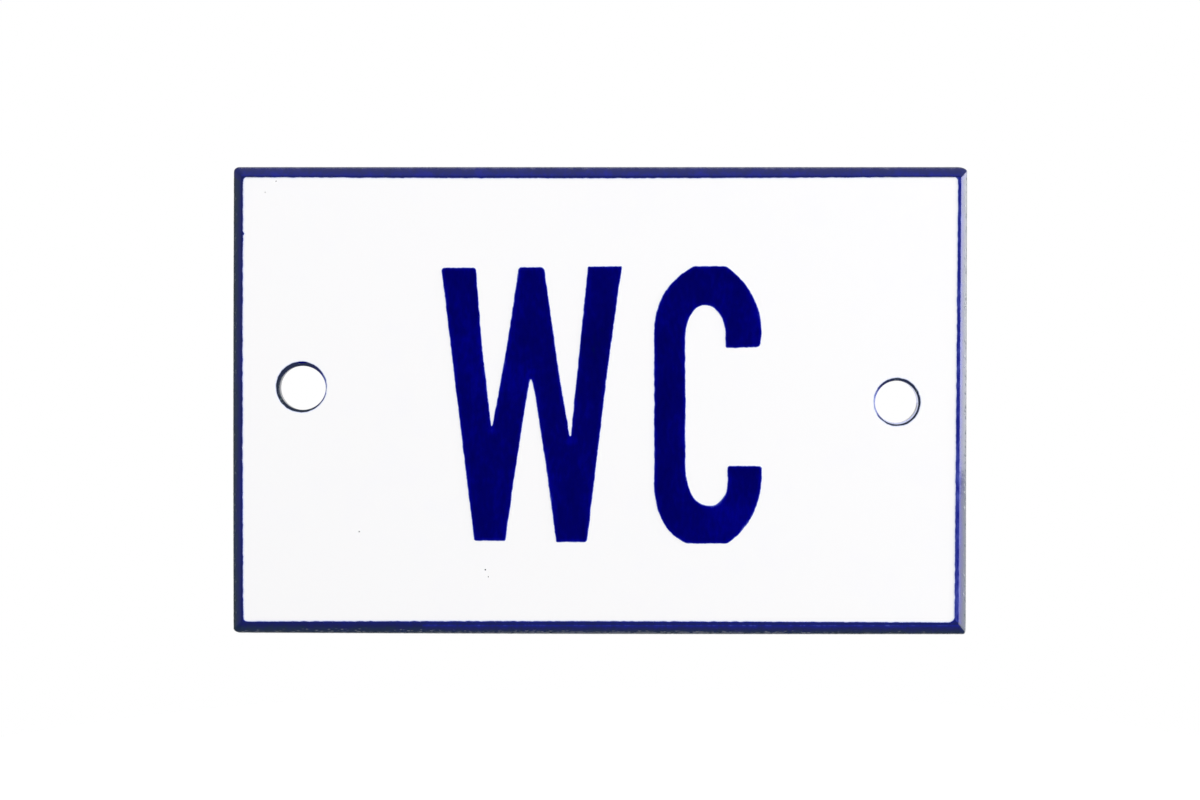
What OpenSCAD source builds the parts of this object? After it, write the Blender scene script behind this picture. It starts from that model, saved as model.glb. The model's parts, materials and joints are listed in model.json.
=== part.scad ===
// Small enamelled steel door sign: one bevelled plate with two screw holes.
// +X runs across the sign, +Z up it, and the face looks along -Y.
// The origin is the middle of the back face, which lies on the door.

/* [Plate] */
// Width of the plate
plate_w = 80; // [60:1:160]
// Height of the plate
plate_h = 50.9; // [40:0.1:120]
// Thickness of the plate over its enamel
plate_t = 2; // [1.7:0.1:4]
// Radius of the top left corner, seen from the front
top_left_r = 0.8; // [0.3:0.1:3]
// Radius of the top right corner
top_right_r = 0.9; // [0.3:0.1:3]
// Radius of the bottom left corner
bottom_left_r = 0.6; // [0.3:0.1:3]
// Radius of the bottom right corner, the sharpest
bottom_right_r = 0.3; // [0.2:0.1:3]

/* [Bevel and edges] */
// Width of the bevel down each side, measured across the face
side_bevel_w = 0.95; // [0.6:0.05:1.6]
// Width of the bevel along the top
top_bevel_w = 1; // [0.6:0.05:1.6]
// Width of the bevel along the bottom, the widest
bottom_bevel_w = 1.2; // [0.6:0.05:1.6]
// Depth of the bevel, measured down from the face
bevel_d = 0.85; // [0.5:0.05:1.1]
// Radius of the shoulder, where the face rolls into the bevel
shoulder_r = 0.7; // [0.2:0.1:1]
// Radius of the toe, where the bevel rolls into the edge
toe_r = 0.4; // [0.1:0.1:0.6]
// Radius of the edge at the back
back_r = 0.3; // [0.1:0.1:0.5]

/* [Screw holes] */
// Diameter of the left hole, clear of its enamel
left_hole_d = 5; // [3:0.1:6]
// Distance from the left end of the plate to the middle of the left hole
left_hole_inset = 7.6; // [5:0.1:12]
// Height of the left hole over the middle of the plate
left_hole_rise = 1.5; // [-5:0.1:5]
// Diameter of the right hole, where the enamel is a little thicker
right_hole_d = 4.8; // [3:0.1:6]
// Distance from the right end of the plate to the middle of the right hole
right_hole_inset = 7.8; // [5:0.1:12]
// Height of the right hole over the middle of the plate
right_hole_rise = -0.1; // [-5:0.1:5]
// Radius of the rolled enamel lip at both ends of a hole
lip_r = 0.25; // [0.1:0.05:0.5]

/* [White field] */
// Depth of the white field under the blue border, which is a second coat
field_d = 0.08; // [0.02:0.02:0.2]
// Flat blue strip left between the bevel and the white
strip_w = 0.25; // [0.1:0.05:3]
// Radius of the field's corners on the left
field_left_r = 0.4; // [0.2:0.05:3]
// Radius of the field's corners on the right
field_right_r = 0.95; // [0.2:0.05:3]

/* [Hidden] */
$fn = 64;

end_x = plate_w / 2;
top_y = plate_h / 2;
field_z = plate_t - field_d;
// How far a cutter or a bar runs past the plate.
past = 1;

function unit(v) = v / norm(v);

// A convex outline, given against the clock, each corner rounded by its own
// radius: between a corner's two tangent points the outline is a true arc.
module rounded_outline(corners, radii) {
    last = len(corners) - 1;
    // From each corner, the ways to its two neighbours.
    to_last = [for (i = [0:last]) unit(corners[i == 0 ? last : i - 1] - corners[i])];
    to_next = [for (i = [0:last]) unit(corners[i == last ? 0 : i + 1] - corners[i])];
    half_angle = [for (i = [0:last]) acos(to_last[i] * to_next[i]) / 2];
    run = [for (i = [0:last]) radii[i] / tan(half_angle[i])];
    polygon([
        for (i = [0:last])
            each [corners[i] + run[i] * to_last[i], corners[i] + run[i] * to_next[i]]
    ]);
    for (i = [0:last])
        translate(corners[i] + unit(to_last[i] + to_next[i]) * radii[i] / sin(half_angle[i]))
            circle(radii[i]);
}

// The plate's section over a span: the back on y = 0, a bevel at either end.
module section(span, low_bevel_w, high_bevel_w) {
    edge = span / 2;
    toe_y = plate_t - bevel_d;
    rounded_outline(
        [
            [-edge, 0],
            [edge, 0],
            [edge, toe_y],
            [edge - high_bevel_w, plate_t],
            [low_bevel_w - edge, plate_t],
            [-edge, toe_y]
        ],
        [back_r, back_r, toe_r, shoulder_r, shoulder_r, toe_r]);
}

// The plate before it is drilled. Two long bars cross, so that their bevels
// meet in a mitre at each corner, and the outline rounds the corners off.
module blank() {
    intersection() {
        rotate([90, 0, 0])
            linear_extrude(plate_h + 2 * past, center = true)
                section(plate_w, side_bevel_w, side_bevel_w);
        rotate([90, 0, 90])
            linear_extrude(plate_w + 2 * past, center = true)
                section(plate_h, bottom_bevel_w, top_bevel_w);
        translate([0, 0, -past])
            linear_extrude(plate_t + 2 * past)
                rounded_outline(
                    [[-end_x, -top_y], [end_x, -top_y], [end_x, top_y], [-end_x, top_y]],
                    [bottom_left_r, bottom_right_r, top_right_r, top_left_r]);
    }
}

// What the white field takes out of the face: the blue coat stops at its rim.
module white_field() {
    side = end_x - side_bevel_w - strip_w;
    top = top_y - top_bevel_w - strip_w;
    bottom = bottom_bevel_w + strip_w - top_y;
    translate([0, 0, field_z])
        linear_extrude(past)
            rounded_outline(
                [[-side, bottom], [side, bottom], [side, top], [-side, top]],
                [field_left_r, field_right_r, field_right_r, field_left_r]);
}

// The flare of a rolled lip, as the back end of a hole takes it out.
module lip_flare(hole_r) {
    flare_r = hole_r + lip_r;
    rotate_extrude()
        difference() {
            translate([0, -past]) square([flare_r, past + lip_r]);
            translate([flare_r, lip_r]) circle(lip_r);
        }
}

// What a hole takes out: the bore, and the flare of the lip at each end.
module screw_hole(hole_d) {
    hole_r = hole_d / 2;
    translate([0, 0, -past]) cylinder(h = plate_t + 2 * past, r = hole_r);
    lip_flare(hole_r);
    translate([0, 0, field_z]) mirror([0, 0, 1]) lip_flare(hole_r);
}

// The sign is drawn lying on its back, and stands up here.
module sign_plate() {
    rotate([90, 0, 0])
        difference() {
            color([0.10, 0.11, 0.42]) blank();
            color([0.97, 0.97, 0.98]) white_field();
            color([0.08, 0.09, 0.18]) {
                translate([left_hole_inset - end_x, left_hole_rise, 0]) screw_hole(left_hole_d);
                translate([end_x - right_hole_inset, right_hole_rise, 0]) screw_hole(right_hole_d);
            }
        }
}

sign_plate();
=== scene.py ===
# Enamel door sign: a bevelled steel plate under fired enamel, white inside a
# dark blue border, with two block capitals and a screw hole near each end.
# Places on the sign are in millimetres as seen from the front, x to the right
# and z up. Levels are heights over the back face, towards the viewer.
import json
import math

import bmesh
import bpy
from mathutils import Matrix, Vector, noise
from mathutils.geometry import interpolate_bezier
from mathutils.kdtree import KDTree


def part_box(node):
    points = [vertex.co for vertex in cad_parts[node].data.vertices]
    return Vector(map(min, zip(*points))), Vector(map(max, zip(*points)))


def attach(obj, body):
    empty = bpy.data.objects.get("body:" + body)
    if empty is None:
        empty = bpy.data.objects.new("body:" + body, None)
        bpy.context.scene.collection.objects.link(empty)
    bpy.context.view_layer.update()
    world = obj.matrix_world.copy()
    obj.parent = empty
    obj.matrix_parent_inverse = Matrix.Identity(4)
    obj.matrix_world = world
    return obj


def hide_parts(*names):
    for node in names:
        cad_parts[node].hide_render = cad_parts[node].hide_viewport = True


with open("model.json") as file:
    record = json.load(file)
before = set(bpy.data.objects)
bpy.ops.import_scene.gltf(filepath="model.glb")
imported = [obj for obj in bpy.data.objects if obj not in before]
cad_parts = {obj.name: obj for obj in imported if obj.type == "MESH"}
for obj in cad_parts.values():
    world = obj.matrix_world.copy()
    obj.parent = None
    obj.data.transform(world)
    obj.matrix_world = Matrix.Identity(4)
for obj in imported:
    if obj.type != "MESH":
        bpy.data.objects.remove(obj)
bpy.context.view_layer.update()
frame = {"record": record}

MM = 0.001
NODE = "sign_plate"
low, high = (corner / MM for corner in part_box(NODE))
HOLES = [mount for mount in frame["record"]["mounts"] if mount["kind"] == "bore"]

# Levels of the coats. The white lies in a recess of the plate, and the blue,
# fired over it, stands up to the level of the border.
BLUE_COAT = 0.08
WHITE_COAT = 0.04
FACE = high.y - low.y
WHITE = FACE - BLUE_COAT
FLOOR = WHITE - WHITE_COAT
BACK = 0.0

# The rolled edge: the bevel's width on each side, its depth, and the rolls.
# The bevel at the right is wider at its foot.
LEFT_BEVEL = 1.05
LOW_RIGHT_BEVEL = 0.99
HIGH_RIGHT_BEVEL = 0.84
TOP_BEVEL = 1.11
BOTTOM_BEVEL = 1.16
BEVEL_DEPTH = 0.85
SHOULDER_R = 0.3
TOE_R = 0.4
BACK_R = 0.3
LIP_R = 0.25

# Where flat faces are filled: an oval that takes in both screw holes.
OVAL = (37.4, 22.4)

# How full a corner's curve is: a round one, one cut flatter, one fuller.
ROUND = 0.55
FLAT = 0.43
FULL = 0.62

# The plate is not quite true. From the lower left against the clock: each
# corner's place in from the box, its rounding's runs along both sides, and the
# bows of the sides. Up the bevel a corner's runs shrink to those of the mitre.
PLATE_IN = [(0.07, 0.17), (0.20, 0.0), (0.04, 0.0), (0.11, 0.0)]
PLATE_RUNS = [(0.5, 0.8), (0.25, 0.6), (0.5, 1.1), (0.6, 0.55)]
PLATE_BOWS = [0.055, 0.0, 0.0, 0.05]
MITRE_RUN = 0.25

# The white field's corners in the same order: place, runs and fullness; the
# bows of its sides; and a nick of blue in its left side, with its depth and reach.
FIELD = [
    (-38.66, -23.91, 0.4, 0.4, ROUND),
    (38.38, -24.02, 0.7, 0.65, FULL),
    (38.79, 24.25, 0.45, 0.5, ROUND),
    (-38.67, 24.22, 0.35, 0.3, ROUND),
]
FIELD_BOWS = [-0.08, 0.0, -0.135, 0.07]
NICK = Vector((-38.72, 18.1))
NICK_DEPTH = 0.16
NICK_REACH = 0.25

# The capitals' corners against the clock: place, runs and fullness. Where a
# side bends a little on its way, it has a corner there too.
LETTER_W = [
    (-13.61, -15.12, 0.15, 0.15, ROUND),
    (-10.31, -15.13, 0.12, 0.12, ROUND),
    (-9.33, -8.01, 1.0, 1.0, ROUND),
    (-7.89, 1.11, 0.5, 0.5, ROUND),
    (-7.61, 2.36, 0.13, 0.11, ROUND),
    (-7.41, 2.36, 0.11, 0.13, ROUND),
    (-7.07, 1.11, 0.5, 0.5, ROUND),
    (-5.69, -8.01, 1.0, 1.0, ROUND),
    (-4.72, -15.26, 0.12, 0.12, ROUND),
    (-1.48, -15.27, 0.25, 0.25, ROUND),
    (0.80, 3.71, 1.0, 1.0, ROUND),
    (2.31, 14.52, 0.08, 0.08, ROUND),
    (-1.28, 14.48, 0.1, 0.1, ROUND),
    (-3.13, -3.88, 0.14, 0.11, ROUND),
    (-3.34, -3.88, 0.11, 0.14, ROUND),
    (-4.43, 2.41, 1.0, 1.0, ROUND),
    (-6.13, 14.41, 0.25, 0.25, FLAT),
    (-8.79, 14.41, 0.25, 0.25, FLAT),
    (-9.98, 6.32, 1.0, 1.0, ROUND),
    (-11.63, -2.82, 0.16, 0.12, ROUND),
    (-11.86, -2.82, 0.12, 0.16, ROUND),
    (-12.90, 6.32, 1.0, 1.0, ROUND),
    (-13.51, 14.37, 0.3, 0.3, ROUND),
    (-17.15, 14.34, 0.25, 0.25, ROUND),
]
LETTER_C = [
    (5.90, -13.9, 4.8, 3.6, FULL),
    (9.45, -15.42, 0.2, 0.2, ROUND),
    (13.70, -15.42, 0.2, 0.2, ROUND),
    (17.44, -13.0, 4.2, 5.0, FULL),
    (17.48, -7.13, 0.25, 0.25, ROUND),
    (13.86, -7.13, 0.2, 0.2, ROUND),
    (13.86, -11.65, 2.8, 2.2, ROUND),
    (10.15, -11.3, 1.4, 1.5, ROUND),
    (9.19, -8.1, 0.5, 0.5, ROUND),
    (9.19, 10.42, 3.5, 2.13, ROUND),
    (13.64, 10.42, 2.3, 3.4, ROUND),
    (13.64, 5.78, 0.18, 0.18, ROUND),
    (17.30, 5.85, 0.45, 0.45, ROUND),
    (17.44, 7.2, 0.4, 0.4, ROUND),
    (17.44, 11.6, 4.0, 4.3, FULL),
    (13.65, 14.53, 0.2, 0.2, ROUND),
    (10.23, 14.53, 0.2, 0.2, ROUND),
    (5.90, 12.3, 4.6, 4.7, FULL),
]

# The two screw holes, neither of them quite round: the coat value of the wall,
# dark in the left hole and pale in the right, and three ovals, each as its place
# from the hole's middle, its half width and half height. The white ends at the
# mouth; the wall runs from front to back.
HOLE_SHAPES = [
    {
        "coat": 0.5,
        "mouth": (0.01, -0.01, 2.74, 2.74),
        "front": (0.12, -0.11, 2.5, 2.38),
        "back": (0.05, -0.08, 2.5, 2.42),
    },
    {
        "coat": 2.0,
        "mouth": (-0.03, -0.04, 2.52, 2.6),
        "front": (-0.02, -0.1, 2.34, 2.36),
        "back": (0.0, 0.0, 2.34, 2.31),
    },
]

# Places on the capitals where the glass is thinner and so brighter, or thicker
# and darker: place, reach and how much.
SHADES = [
    (-11.74, -3.2, 0.6, 0.25),
    (-7.48, 3.1, 0.6, 0.2),
    (-3.14, -4.4, 0.7, 0.3),
    (0.3, 6.0, 7.0, -0.11),
    (-13.6, 4.0, 6.0, 0.08),
    (14.5, -13.5, 5.0, 0.08),
    (16.3, 9.0, 4.0, 0.06),
    (7.5, 0.0, 5.0, -0.05),
]

# Dark pinholes in the white: place and radius; and how far they stand up.
PINHOLES = [
    (-35.13, 23.79, 0.055),
    (-36.32, 22.59, 0.05),
    (-26.12, -14.19, 0.07),
    (-12.45, -18.32, 0.08),
    (-12.12, -19.08, 0.06),
]
PINHOLE_RISE = 0.006

# How the glass lies, as the meshes tell the materials. Blue on steel is black
# at 0 and cobalt at 1. Blue over the white pales from 1 to 2, where it is
# thinnest. White is whole at 1 and shows the dark ground at 0.
# Some of these values are changed later to carry painted light and shade on the bevels and the
# hole lips.
GROUND = 0.2
BLUE = 1.0
RIGHT_STRIP = 1.28

# How burnt and dull the glass is: 1 along the plate's outer edge.
BORDER_BURN = 0.2
LIP_BURN = 0.9
WALL_BURN = 0.06

# Fineness of the meshes: points along the sides, at corners and in rolls.
LONG_POINTS = 560
SHORT_POINTS = 360
CORNER_POINTS = 14
ROLL_STEPS = 5
HOLE_POINTS = 144
LETTER_STEP = 0.09
GRID_STEP = 0.45


def from_front(x, z, level):
    """A place on the sign, as a place in the frame, still in millimetres."""
    return Vector((x, high.y - level, z))


# Outlines, all against the clock


def corner_curves(corners):
    """The rounded corners of an outline, as a list of points for each."""
    places = [Vector(corner[:2]) for corner in corners]
    curves = []
    for i, (_, _, run_in, run_out, full) in enumerate(corners):
        place = places[i]
        start = place + (places[i - 1] - place).normalized() * run_in
        end = place + (places[(i + 1) % len(places)] - place).normalized() * run_out
        handles = start.lerp(place, full), end.lerp(place, full)
        curves.append(interpolate_bezier(start, *handles, end, CORNER_POINTS))
    return curves


def four_sided(corners, bows):
    """A four-sided outline, its sides bowed out, always with as many points."""
    curves = corner_curves(corners)
    outline = []
    for i, bow in enumerate(bows):
        outline += curves[i]
        start, end = curves[i][-1], curves[(i + 1) % 4][0]
        out = Vector((end.y - start.y, start.x - end.x)).normalized() * bow
        count = LONG_POINTS if i % 2 == 0 else SHORT_POINTS
        for step in range(1, count):
            t = step / count
            outline.append(start.lerp(end, t) + out * math.sin(math.pi * t))
    return outline


def evenly_spaced(corners, spacing):
    """A many-sided outline with its points evenly spaced."""
    points = [point for curve in corner_curves(corners) for point in curve]
    outline = []
    for start, end in zip(points, points[1:] + points[:1]):
        count = max(1, round((end - start).length / spacing))
        outline += [start.lerp(end, step / count) for step in range(count)]
    return outline


def outward(outline):
    """The outward direction at each point of an outline."""
    ways = []
    for last, after in zip(outline[-1:] + outline[:-1], outline[1:] + outline[:1]):
        along = after - last
        ways.append(Vector((along.y, -along.x)).normalized())
    return ways


def grown(outline, amount):
    """The outline moved outwards, or inwards where the amount is negative."""
    return [point + way * amount for point, way in zip(outline, outward(outline))]


def drawn_in(outline):
    """The outline drawn in to the oval, each point along its way to the middle."""
    points = []
    for point in outline:
        way = Vector((point.x / OVAL[0], point.y / OVAL[1])).normalized()
        points.append(Vector((way.x * OVAL[0], way.y * OVAL[1])))
    return points


def wavering(outline, seed, reach, patch):
    """The outline with the unsteady edge that a stencil leaves."""
    moved = []
    for point, way in zip(outline, outward(outline)):
        slow = noise.noise(Vector((*(point / patch), seed)))
        fine = noise.noise(Vector((*(point / patch * 3), seed + 9)))
        moved.append(point + way * reach * (slow + 0.4 * fine))
    return moved


def oval(x, z, half_width, half_height, out):
    """An oval outline, grown by an amount."""
    turn = 2 * math.pi / HOLE_POINTS
    return [
        Vector((
            x + (half_width + out) * math.cos(turn * i),
            z + (half_height + out) * math.sin(turn * i),
        ))
        for i in range(HOLE_POINTS)
    ]


# Meshes. Each point carries two values for the materials: coat says how the
# glass lies there, and burn how burnt it is. On the top and bottom bevels and
# the hole lips coat also carries painted light and shade, and on the bottom
# bevel a lower burn adds painted shade.


def new_mesh():
    """An empty mesh with the two values."""
    bm = bmesh.new()
    bm.verts.layers.float.new("coat")
    bm.verts.layers.float.new("burn")
    return bm


def stack(bm, layers):
    """A wall through layers of (outline, level, coat, burn), and its two end rings.

    The first ring is drawn, and each later one is extruded from the last.
    """
    count = len(layers[0][0])
    verts = bmesh.ops.create_circle(bm, segments=count, radius=1)["verts"]
    first = list(dict.fromkeys(edge for vert in verts for edge in vert.link_edges))
    place_ring(bm, verts, *layers[0])
    edges = first
    for layer in layers[1:]:
        order = {vert: i for i, vert in enumerate(verts)}
        made = bmesh.ops.extrude_edge_only(bm, edges=edges)["geom"]
        for vert in [part for part in made if isinstance(part, bmesh.types.BMVert)]:
            below = next(end for edge in vert.link_edges for end in edge.verts if end in order)
            verts[order[below]] = vert
        above = set(verts)
        edges = [
            part for part in made
            if isinstance(part, bmesh.types.BMEdge) and above.issuperset(part.verts)
        ]
        place_ring(bm, verts, *layer)
    return first, edges


def place_ring(bm, verts, outline, level, coat, burn=0.0):
    """Puts a ring's points in their places, with one coat or one for each."""
    coat_layer, burn_layer = (bm.verts.layers.float[name] for name in ("coat", "burn"))
    coats = coat if isinstance(coat, list) else [coat] * len(outline)
    for vert, point, value in zip(verts, outline, coats):
        vert.co = from_front(*point, level)
        vert[coat_layer] = value
        vert[burn_layer] = burn


def fill(bm, *rings):
    """The flat face inside the first ring, with the others as its holes."""
    edges = [edge for ring in rings for edge in ring]
    made = bmesh.ops.triangle_fill(bm, edges=edges, use_beauty=False)
    return [part for part in made["geom"] if isinstance(part, bmesh.types.BMFace)]


def roll(radius):
    """Steps of a quarter turn, as pairs that run from 0 to the radius."""
    turns = [math.pi / 2 * step / ROLL_STEPS for step in range(ROLL_STEPS + 1)]
    return [(radius * (1 - math.cos(turn)), radius * math.sin(turn)) for turn in turns]


def finish_piece(bm, name, material):
    """Makes a piece of the mesh, closed and smooth, that rides on the root."""
    bmesh.ops.recalc_face_normals(bm, faces=bm.faces)
    bmesh.ops.scale(bm, vec=(MM, MM, MM), verts=bm.verts)
    mesh = bpy.data.meshes.new(name)
    bm.to_mesh(mesh)
    bm.free()
    mesh.shade_smooth()
    mesh.materials.append(material)
    piece = bpy.data.objects.new(name, mesh)
    bpy.context.scene.collection.objects.link(piece)
    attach(piece, "root")
    return piece


# The plate


def edge_section():
    """The edge's section from back to face, as (inset, level) along the left."""
    shoulder = Vector((LEFT_BEVEL, FACE))
    corners = [
        Vector((1, BACK)),
        Vector((0, BACK)),
        Vector((0, FACE - BEVEL_DEPTH)),
        shoulder,
        shoulder + Vector((1, 0)),
    ]
    section = []
    for i, radius in enumerate((BACK_R, TOE_R, SHOULDER_R), 1):
        last = (corners[i - 1] - corners[i]).normalized()
        after = (corners[i + 1] - corners[i]).normalized()
        half = math.acos(last.dot(after)) / 2
        centre = corners[i] + (last + after).normalized() * radius / math.sin(half)
        start = corners[i] + last * radius / math.tan(half) - centre
        end = corners[i] + after * radius / math.tan(half) - centre
        for step in range(ROLL_STEPS + 1):
            section.append(centre + radius * start.slerp(end, step / ROLL_STEPS))
    return section


def plate_outline(inset):
    """The plate's outline, moved in to a place in the section of its edge."""
    part = inset / LEFT_BEVEL
    rounding = max(0.0, 1 - part)
    bevels = [
        (-LEFT_BEVEL, -BOTTOM_BEVEL),
        (LOW_RIGHT_BEVEL, -BOTTOM_BEVEL),
        (HIGH_RIGHT_BEVEL, TOP_BEVEL),
        (-LEFT_BEVEL, TOP_BEVEL),
    ]
    corners = []
    for (bevel_x, bevel_z), place_in, runs in zip(bevels, PLATE_IN, PLATE_RUNS):
        corners.append((
            math.copysign(high.x - place_in[0], bevel_x) - bevel_x * part,
            math.copysign(high.z - place_in[1], bevel_z) - bevel_z * part,
            *(MITRE_RUN + (run - MITRE_RUN) * rounding for run in runs),
            ROUND,
        ))
    return four_sided(corners, PLATE_BOWS)


def field_outline():
    """The rim of the white field, where the stencil ended the blue."""
    outline = wavering(four_sided(FIELD, FIELD_BOWS), seed=3, reach=0.05, patch=0.6)
    nick = [max(0.0, 1 - (point - NICK).length / NICK_REACH) for point in outline]
    return [
        point - way * part * NICK_DEPTH
        for point, way, part in zip(outline, outward(outline), nick)
    ]


def hole_oval(hole, shape, part, out=0.0):
    """One of a screw hole's ovals, grown by an amount."""
    x, z, half_width, half_height = shape[part]
    middle = hole["pos_m"]
    return oval(middle[0] / MM + x, middle[2] / MM + z, half_width, half_height, out)


def bore(bm, hole, shape):
    """A screw hole's wall between rolled lips, and its two end rings."""
    ways = outward(hole_oval(hole, shape, "front"))
    # The lip is bluer at its top, and palest on the side towards the sign's middle, which is
    # painted light.
    middle = -1 if hole["pos_m"][0] > 0 else 1
    lip = [0.55 + 0.2 * max(0.0, way.y) + 1.15 * max(0.0, way.x * middle) ** 3 for way in ways]
    # The wall is all of one colour, but its far end is dark along its lower half.
    wall, dark = shape["coat"], 0.4
    end = [wall + (dark - wall) * min(1.0, max(0.0, -3 * way.y)) for way in ways]
    # Each lip has a narrow flat ring round it.
    wide = LIP_R + 0.05
    rolled = [(LIP_R - rise, drop) for drop, rise in roll(LIP_R)]
    layers = [(hole_oval(hole, shape, "front", wide), FLOOR, lip, LIP_BURN)]
    for out, drop in rolled:
        layers.append((hole_oval(hole, shape, "front", out), FLOOR - drop, lip, LIP_BURN))
    for part, level, coat in (
        ("front", FLOOR - LIP_R - 0.1, wall),
        ("back", LIP_R + 0.95, wall),
        ("back", LIP_R + 0.75, end),
        ("back", LIP_R + 0.1, end),
    ):
        layers.append((hole_oval(hole, shape, part), level, coat, WALL_BURN))
    for out, drop in reversed(rolled):
        layers.append((hole_oval(hole, shape, "back", out), drop, GROUND, WALL_BURN))
    layers.append((hole_oval(hole, shape, "back", wide), BACK, GROUND))
    return stack(bm, layers)


def edge_coat(step, inset):
    """How the glass lies at a step of the edge: the ground behind, bluer up the bevel."""
    if step <= ROLL_STEPS:
        return GROUND
    return 0.35 + 0.6 * min(1.0, inset / (0.75 * LEFT_BEVEL))


def edge_burn(step):
    """How burnt the glass is at a step of the edge, most of all round the toe."""
    toe_end = 2 * ROLL_STEPS + 1
    if step <= ROLL_STEPS // 2:
        return 0.0
    if step < toe_end:
        return 1.0
    return 0.4 if step == toe_end else BORDER_BURN


def make_plate(material):
    """The plate and its border: the back, the rolled edge and the blue rim."""
    bm = new_mesh()
    behind = plate_outline(BACK_R + 0.1)
    layers = [(drawn_in(behind), BACK, GROUND), (behind, BACK, GROUND)]
    for step, (inset, level) in enumerate(edge_section()):
        burn = edge_burn(step)
        # Where it is burnt the edge wavers, and is drawn in to stay inside the part.
        outline = wavering(plate_outline(inset + 0.012 * burn), 5, 0.01 * burn, 0.25)
        layers.append((outline, level, edge_coat(step, inset), burn))
    rim = field_outline()
    for out, level, coat in (
        (0.07, FACE, 1.14),
        (0.05, FACE - 0.003, 1.16),
        (0.035, FACE - 0.01, 1.18),
        (0.015, FACE - 0.04, 1.4),
        (0.0, WHITE, 1.9),
        (0.0, FLOOR, 1.9),
        (-0.1, FLOOR, BLUE),
    ):
        layers.append((grown(rim, out), level, coat, BORDER_BURN))
    layers.append((drawn_in(rim), FLOOR, BLUE))
    back, floor = stack(bm, layers)
    bevel_coats_and_painted_light(bm)
    bores = [bore(bm, hole, shape) for hole, shape in zip(HOLES, HOLE_SHAPES)]
    fill(bm, floor, *[front for front, _ in bores])
    fill(bm, back, *[end for _, end in bores])
    plate = finish_piece(bm, "plate", material)
    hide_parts(NODE)


def bevel_coats_and_painted_light(bm):
    """Gives each bevel its own blue, with painted light on the top bevel and painted shade on the
    bottom one, and the flat strip at the right a paler one.
    """
    coat, burn = (bm.verts.layers.float[name] for name in ("coat", "burn"))
    for vert in bm.verts:
        on_bevel = 0.3 < vert[coat] < 0.97
        if on_bevel:
            # The top is painted lighter, blue down to its edge, as painted light from above;
            # the bottom is black there and less burnt, partly the dark ground showing and
            # partly painted shade; the left is nearly as the edge was made.
            if vert.co.z > high.z - TOP_BEVEL:
                vert[coat] = 0.72 + 0.4 * vert[coat]
            elif vert.co.z < low.z + BOTTOM_BEVEL:
                vert[coat] = 1.5 * vert[coat] - 0.19
                vert[burn] = max(BORDER_BURN, 0.3 * vert[burn])
            elif vert.co.x < low.x + LEFT_BEVEL:
                vert[coat] = 1.15 * vert[coat] - 0.05
        level = high.y - vert.co.y
        beside = vert.co.x > FIELD[1][0] and FIELD[1][1] < vert.co.z < FIELD[2][1]
        if beside and level > FACE - 0.1 and 0.9 < vert[coat] < RIGHT_STRIP:
            vert[coat] = RIGHT_STRIP


def make_white_field(material):
    """The white coat: a thin sheet in the recess, ragged round the holes."""
    bm = new_mesh()
    rim = field_outline()
    bed = FLOOR - 0.005
    under, over = stack(bm, [
        (drawn_in(rim), bed, 0.7),
        (grown(rim, 0.03), bed, 0.7),
        (grown(rim, 0.03), WHITE, 0.7),
        (rim, WHITE, 0.7),
        (grown(rim, -0.18), WHITE, 1.0),
        (drawn_in(rim), WHITE, 1.0),
    ])
    unders, overs = [under], [over]
    for seed, (hole, shape) in enumerate(zip(HOLES, HOLE_SHAPES), 20):
        mouth = wavering(hole_oval(hole, shape, "mouth"), seed, 0.04, 0.5)
        collar = hole_oval(hole, shape, "mouth", 0.35)
        under, over = stack(bm, [
            (collar, bed, 0.0),
            (grown(mouth, -0.02), bed, 0.0),
            (grown(mouth, -0.01), WHITE - 0.02, 0.0),
            (grown(mouth, 0.03), WHITE, 0.6),
            (grown(mouth, 0.16), WHITE, 1.0),
            (collar, WHITE, 1.0),
        ])
        unders.append(under)
        overs.append(over)
    fill(bm, *overs)
    fill(bm, *unders)
    finish_piece(bm, "white_field", material)


def make_letter(name, corners, seed, material):
    """A capital in the second coat, thin at its foot and rounded over."""
    bm = new_mesh()
    outline = wavering(evenly_spaced(corners, LETTER_STEP), seed, 0.05, 0.8)
    under, over = stack(bm, [
        (grown(outline, out), level, coat)
        for out, level, coat in (
            (0.08, WHITE - 0.02, 1.95),
            (0.08, WHITE + 0.004, 1.95),
            (0.05, WHITE + 0.03, 1.7),
            (0.01, FACE - 0.02, 1.35),
            (-0.03, FACE - 0.008, 1.25),
            (-0.07, FACE - 0.004, 1.2),
        )
    ])
    bmesh.ops.edgeloop_fill(bm, edges=under)
    shade_face(bm, fill(bm, over), outline)
    finish_piece(bm, name, material)


def shade_face(bm, faces, outline):
    """Cuts a capital's face into a grid, whose coat thins towards its edge."""
    xs = [point.x for point in outline]
    zs = [point.y for point in outline]
    for values, normal in ((xs, (1, 0, 0)), (zs, (0, 0, 1))):
        cut = min(values) + GRID_STEP
        while cut < max(values):
            place = Vector(normal) * cut
            rims = dict.fromkeys(part for face in faces for part in (*face.edges, *face.verts))
            made = bmesh.ops.bisect_plane(
                bm, geom=faces + list(rims), plane_co=place, plane_no=normal
            )
            faces = [part for part in made["geom"] if isinstance(part, bmesh.types.BMFace)]
            cut += GRID_STEP
    tree = KDTree(len(outline))
    for i, point in enumerate(outline):
        tree.insert(from_front(*point, FACE), i)
    tree.balance()
    coat = bm.verts.layers.float["coat"]
    for vert in {vert for face in faces for vert in face.verts}:
        away = tree.find(vert.co)[2]
        vert[coat] = BLUE + 0.2 * max(0.0, 1 - away / 0.4)
        for x, z, reach, amount in SHADES:
            away = (vert.co - from_front(x, z, FACE)).length
            vert[coat] += amount * max(0.0, 1 - away / reach)


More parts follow.
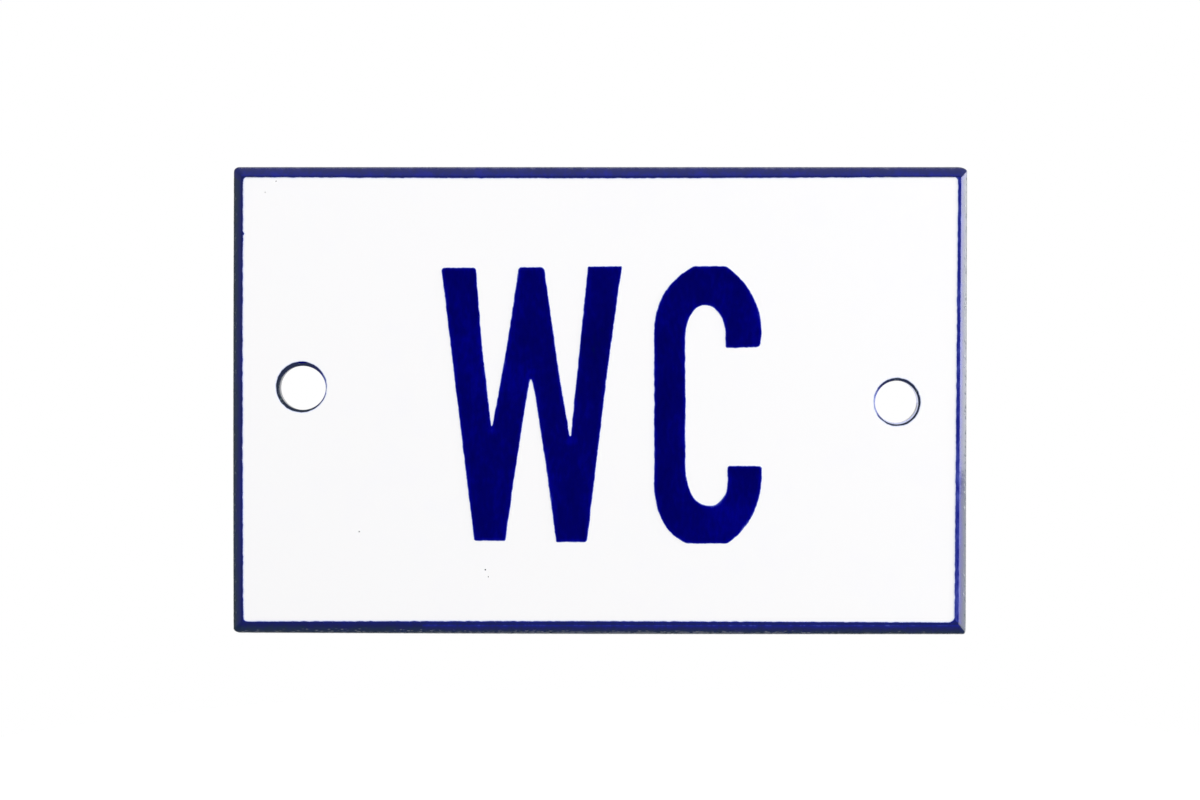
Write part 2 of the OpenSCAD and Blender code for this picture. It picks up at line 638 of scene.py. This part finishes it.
def make_pinholes(material):
    """The dark pinholes, as flat beads of the ground coat in the white."""
    bm = new_mesh()
    for x, z, radius in PINHOLES:
        bead = bmesh.ops.create_icosphere(bm, subdivisions=2, radius=1)["verts"]
        bmesh.ops.scale(bm, vec=(radius, PINHOLE_RISE, radius), verts=bead)
        bmesh.ops.translate(bm, vec=from_front(x, z, WHITE), verts=bead)
    finish_piece(bm, "pinholes", material)


# Materials


def add_node(tree, kind, inputs=None, **settings):
    """A node with its settings, its inputs given as values or links."""
    made = tree.nodes.new(kind)
    for name, value in settings.items():
        setattr(made, name, value)
    for name, value in (inputs or {}).items():
        if isinstance(value, bpy.types.NodeSocket):
            tree.links.new(value, made.inputs[name])
        else:
            made.inputs[name].default_value = value
    return made


def new_group(name, inputs, output):
    """An empty node group with plain inputs, a place first, and one output."""
    group = bpy.data.node_groups.new(name, "ShaderNodeTree")
    group.interface.new_socket("Place", in_out="INPUT", socket_type="NodeSocketVector")
    for socket in inputs:
        group.interface.new_socket(socket, in_out="INPUT", socket_type="NodeSocketFloat")
    group.interface.new_socket(output, in_out="OUTPUT", socket_type="NodeSocketFloat")
    return group, group.nodes.new("NodeGroupInput").outputs


def end_group(group, value):
    """Sends a value to a group's output."""
    group.links.new(value, group.nodes.new("NodeGroupOutput").inputs[0])
    return group


def math_node(tree, operation, first, second):
    """The result of one sum on values or links."""
    made = add_node(tree, "ShaderNodeMath", {0: first, 1: second}, operation=operation)
    return made.outputs[0]


def noise_value(tree, place, patch, detail=2.0):
    """Noise from 0 to 1, in patches of a size in millimetres."""
    scale = math_node(tree, "DIVIDE", 1.0, patch)
    made = add_node(
        tree, "ShaderNodeTexNoise", {"Vector": place, "Scale": scale, "Detail": detail}
    )
    return made.outputs[0]


def mottle_group():
    """Uneven glass: broad patches and fine streaks, about nought."""
    group, inputs = new_group("fired mottle", ["Patch", "Amount"], "Value")
    broad = noise_value(group, inputs["Place"], inputs["Patch"], 3.0)
    fine_patch = math_node(group, "MULTIPLY", inputs["Patch"], 0.2)
    fine = noise_value(group, inputs["Place"], fine_patch, 4.0)
    both = math_node(group, "ADD", broad, fine)
    centred = math_node(group, "SUBTRACT", both, 1.0)
    return end_group(group, math_node(group, "MULTIPLY", centred, inputs["Amount"]))


def speck_group():
    """Specks about a spacing apart: 1 inside a speck, 0 outside."""
    group, inputs = new_group("specks", ["Spacing", "Width"], "Mask")
    scale = math_node(group, "DIVIDE", 1.0, inputs["Spacing"])
    cells = add_node(group, "ShaderNodeTexVoronoi", {"Vector": inputs["Place"], "Scale": scale})
    width = math_node(group, "DIVIDE", inputs["Width"], inputs["Spacing"])
    soft = add_node(group, "ShaderNodeMapRange", {
        "Value": cells.outputs["Distance"], "From Min": width, "From Max": 0.0,
    })
    return end_group(group, soft.outputs[0])


def use_group(tree, group, place, **inputs):
    """A group's output in a material."""
    made = add_node(tree, "ShaderNodeGroup", node_tree=group)
    tree.links.new(place, made.inputs["Place"])
    for name, value in inputs.items():
        made.inputs[name].default_value = value
    return made.outputs[0]


def ramp(tree, value, stops):
    """A colour from a value, by stops of (position, colour)."""
    made = add_node(tree, "ShaderNodeValToRGB", {0: value})
    elements = made.color_ramp.elements
    while len(elements) < len(stops):
        elements.new(0.5)
    for element, (position, color) in zip(elements, stops):
        element.position = position
        element.color = (*color, 1)
    return made.outputs[0]


def new_enamel(name):
    """A material, its tree, its shader, and the place on the sign in millimetres."""
    material = bpy.data.materials.new(name)
    material.use_nodes = True
    tree = material.node_tree
    shader = tree.nodes["Principled BSDF"]
    coordinates = add_node(tree, "ShaderNodeTexCoord")
    place = add_node(
        tree, "ShaderNodeVectorMath", {0: coordinates.outputs["Object"], "Scale": 1 / MM},
        operation="SCALE",
    )
    return material, tree, shader, place.outputs[0]


def attribute(tree, name):
    """A value that the mesh carries."""
    return add_node(tree, "ShaderNodeAttribute", attribute_name=name).outputs["Fac"]


def raise_surface(tree, shader, height, depth):
    """Bumps the shader's surface by a height from 0 to 1 and a depth in mm."""
    bump = add_node(tree, "ShaderNodeBump", {"Height": height, "Distance": depth * MM})
    tree.links.new(bump.outputs[0], shader.inputs["Normal"])


def blue_enamel(mottle, specks):
    """Cobalt glass: black where it is thin on steel, paler thin on white."""
    material, tree, shader, place = new_enamel("blue enamel")
    coat = attribute(tree, "coat")
    burn = attribute(tree, "burn")
    # The mottle of the blue runs up and down, as the coat was brushed.
    streaked = add_node(
        tree, "ShaderNodeVectorMath", {0: place, 1: (1, 1, 0.4)}, operation="MULTIPLY"
    ).outputs[0]
    uneven = use_group(tree, mottle, streaked, Patch=2.0, Amount=0.42)
    depth = math_node(tree, "ADD", coat, uneven)
    glass = ramp(tree, math_node(tree, "MULTIPLY", depth, 0.5), [
        (0.0, (0.004, 0.008, 0.009)),
        (0.2, (0.003, 0.011, 0.030)),
        (0.36, (0.0, 0.007, 0.070)),
        (0.42, (0.0, 0.0, 0.09)),
        (0.5, (0.0, 0.0, 0.122)),
        (0.62, (0.0, 0.0, 0.24)),
        (0.8, (0.12, 0.16, 0.6)),
        (1.0, (0.6, 0.66, 1.0)),
    ])
    # The border has a film of dull grey, and fine pale beads where it is thin and burnt, which
    # also stand in as painted glints on the edge.
    beads = use_group(tree, specks, place, Spacing=0.5, Width=0.2)
    thin = add_node(tree, "ShaderNodeMapRange", {"Value": coat, "From Min": 0.85, "From Max": 0.7})
    beads = math_node(tree, "MULTIPLY", beads, thin.outputs[0])
    beads_and_glints = math_node(tree, "MULTIPLY", beads, burn)
    film = math_node(tree, "MULTIPLY", math_node(tree, "MINIMUM", burn, BORDER_BURN), 0.5)
    greyed = math_node(tree, "MAXIMUM", beads_and_glints, film)
    grey = (0.115, 0.165, 0.16, 1)
    color = add_node(tree, "ShaderNodeMix", {0: greyed, 6: glass, 7: grey}, data_type="RGBA")
    tree.links.new(color.outputs[2], shader.inputs["Base Color"])
    dull = add_node(tree, "ShaderNodeMapRange", {
        "Value": burn, "From Min": 0.3, "To Min": 0.08, "To Max": 0.5,
    })
    roughness = math_node(tree, "MAXIMUM", dull.outputs[0], beads_and_glints)
    tree.links.new(roughness, shader.inputs["Roughness"])
    peel = math_node(tree, "MULTIPLY", noise_value(tree, place, 1.2), 0.04)
    raise_surface(tree, shader, math_node(tree, "ADD", peel, beads_and_glints), 0.1)
    return material


def white_enamel(mottle):
    """White glass, very slightly uneven, that thins to the dark ground."""
    material, tree, shader, place = new_enamel("white enamel")
    shader.inputs["Roughness"].default_value = 0.07
    coat = attribute(tree, "coat")
    uneven = use_group(tree, mottle, place, Patch=14.0, Amount=0.06)
    color = ramp(tree, math_node(tree, "ADD", coat, uneven), [
        (0.0, (0.02, 0.025, 0.06)),
        (0.4, (0.30, 0.34, 0.5)),
        (0.7, (0.76, 0.82, 0.99)),
        (0.9, (0.93, 0.93, 0.985)),
        (1.0, (0.965, 0.961, 0.97)),
    ])
    tree.links.new(color, shader.inputs["Base Color"])
    raise_surface(tree, shader, noise_value(tree, place, 2.5), 0.003)
    return material


# The studio


def make_camera():
    """The photograph's view: square on, from as near as it was taken."""
    gap = 200.0
    view_width = 130.0
    aim = (-0.02, 0.076)
    data = bpy.data.cameras.new("camera")
    data.sensor_width = 36
    data.lens = data.sensor_width * gap / view_width
    data.clip_start = 0.01
    camera = bpy.data.objects.new("camera", data)
    camera.location = from_front(*aim, FACE + gap) * MM
    camera.rotation_euler = (math.pi / 2, 0, 0)
    bpy.context.scene.collection.objects.link(camera)
    bpy.context.scene.camera = camera


def make_lamp(name, place, size, watts):
    """A soft lamp at a place, turned to the sign."""
    data = bpy.data.lights.new(name, "AREA")
    data.shape = "RECTANGLE"
    data.size, data.size_y = (side * MM for side in size)
    data.energy = watts
    lamp = bpy.data.objects.new(name, data)
    lamp.location = from_front(*place) * MM
    lamp.rotation_euler = (-lamp.location).to_track_quat("-Z", "Y").to_euler()
    bpy.context.scene.collection.objects.link(lamp)
    return lamp


def mirrored(tree, rays):
    """1 for rays that the glass has thrown back or let through, 0 for others."""
    return math_node(tree, "MAXIMUM", rays["Is Glossy Ray"], rays["Is Transmission Ray"])


def make_world():
    """A white background, an even light, and a dark room behind the camera."""
    even_light = 0.83
    world = bpy.data.worlds.new("studio")
    world.use_nodes = True
    tree = world.node_tree
    rays = add_node(tree, "ShaderNodeLightPath").outputs
    way = add_node(tree, "ShaderNodeTexCoord").outputs["Generated"]
    depth = add_node(
        tree, "ShaderNodeVectorMath", {0: way, 1: (0.1, 1, 0.15)}, operation="DOT_PRODUCT"
    ).outputs["Value"]
    room = add_node(tree, "ShaderNodeMapRange", {"Value": depth, "From Min": -0.42}).outputs[0]
    light = add_node(tree, "ShaderNodeMix", {0: mirrored(tree, rays), 2: even_light, 3: room})
    strength = add_node(
        tree, "ShaderNodeMix", {0: rays["Is Camera Ray"], 2: light.outputs[0], 3: 1.0}
    )
    background = tree.nodes["Background"]
    background.inputs["Color"].default_value = (1, 1, 1, 1)
    tree.links.new(strength.outputs[0], background.inputs["Strength"])
    bpy.context.scene.world = world


def make_floor():
    """A pale round floor, under the sign and behind it, that keeps its shadow."""
    radius = 220
    middle = Vector((0, 215, -100))
    bm = bmesh.new()
    bmesh.ops.create_circle(bm, cap_ends=True, segments=96, radius=radius * MM)
    bmesh.ops.translate(bm, vec=middle * MM, verts=bm.verts)
    mesh = bpy.data.meshes.new("floor")
    bm.to_mesh(mesh)
    bm.free()
    material = bpy.data.materials.new("floor")
    material.use_nodes = True
    tree = material.node_tree
    shader = tree.nodes["Principled BSDF"]
    shader.inputs["Base Color"].default_value = (0.9, 0.9, 0.9, 1)
    shader.inputs["Roughness"].default_value = 1.0
    shader.inputs["Emission Color"].default_value = (1, 1, 1, 1)
    rays = add_node(tree, "ShaderNodeLightPath").outputs
    seen = math_node(tree, "MAXIMUM", rays["Is Camera Ray"], mirrored(tree, rays))
    glow = math_node(tree, "MULTIPLY", seen, 0.3)
    tree.links.new(glow, shader.inputs["Emission Strength"])
    mesh.materials.append(material)
    floor = bpy.data.objects.new("floor", mesh)
    bpy.context.scene.collection.objects.link(floor)


def make_studio():
    """The background, the floor and the lamps, of which the key lamp isn't mirrored."""
    make_world()
    make_floor()
    make_lamp("side lamp", (260, 43, -20), (260, 124), 0.58)
    make_lamp("low side lamp", (260, -70, -20), (260, 102), 0.27)
    make_lamp("top lamp", (0, 330, -60), (300, 80), 0.35)
    key = make_lamp("key lamp", (-120, 260, 300), (200, 200), 0.35)
    key.visible_glossy = False


bpy.context.scene.view_settings.view_transform = "Standard"
make_camera()
mottle = mottle_group()
specks = speck_group()
blue = blue_enamel(mottle, specks)
make_plate(blue)
make_white_field(white_enamel(mottle))
make_pinholes(blue)
make_letter("letter_w", LETTER_W, 40, blue)
make_letter("letter_c", LETTER_C, 41, blue)
make_studio()
